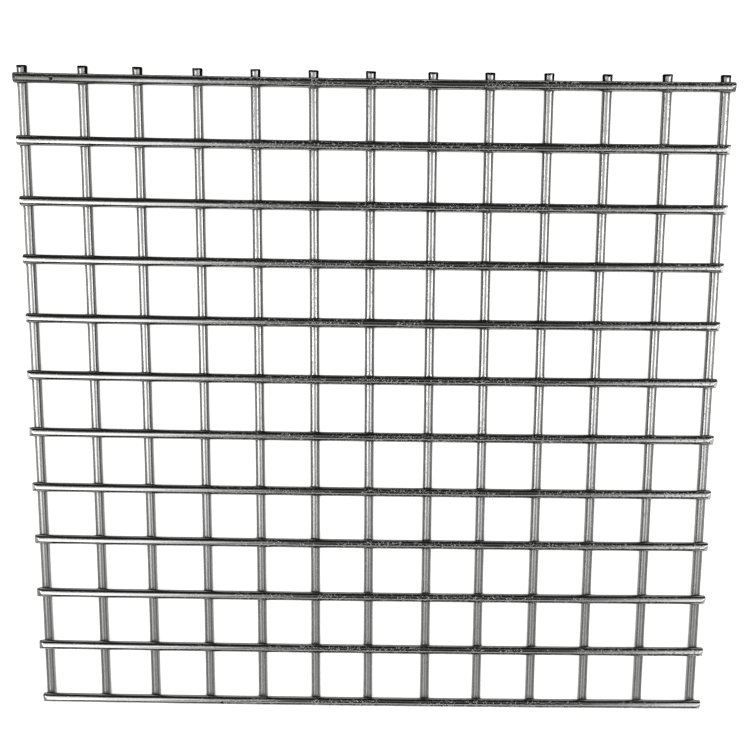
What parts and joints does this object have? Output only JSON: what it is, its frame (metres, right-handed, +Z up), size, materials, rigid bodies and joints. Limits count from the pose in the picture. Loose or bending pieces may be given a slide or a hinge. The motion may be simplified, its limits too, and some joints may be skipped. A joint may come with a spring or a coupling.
{
  "type": "welded wire mesh panel",
  "caption": "Flat rectangular panel of round bright zinc-coated wires laid in two crossing layers and welded at every crossing into a square open mesh.",
  "frame": {"origin": "middle of the panel's underside, on the plane that the lower wires rest on", "axes": "+X along the cross wires, +Y along the line wires towards the edge with the longer cut stubs, +Z up through the panel, cross wires on top"},
  "size_m": [0.3076, 0.2846, 0.0072],
  "materials": {
    "zinc_wire": "bright zinc coating over drawn steel wire, slightly uneven"
  },
  "bodies": {
    "root": {"welded_mesh": "zinc_wire"}
  },
  "joints": []
}
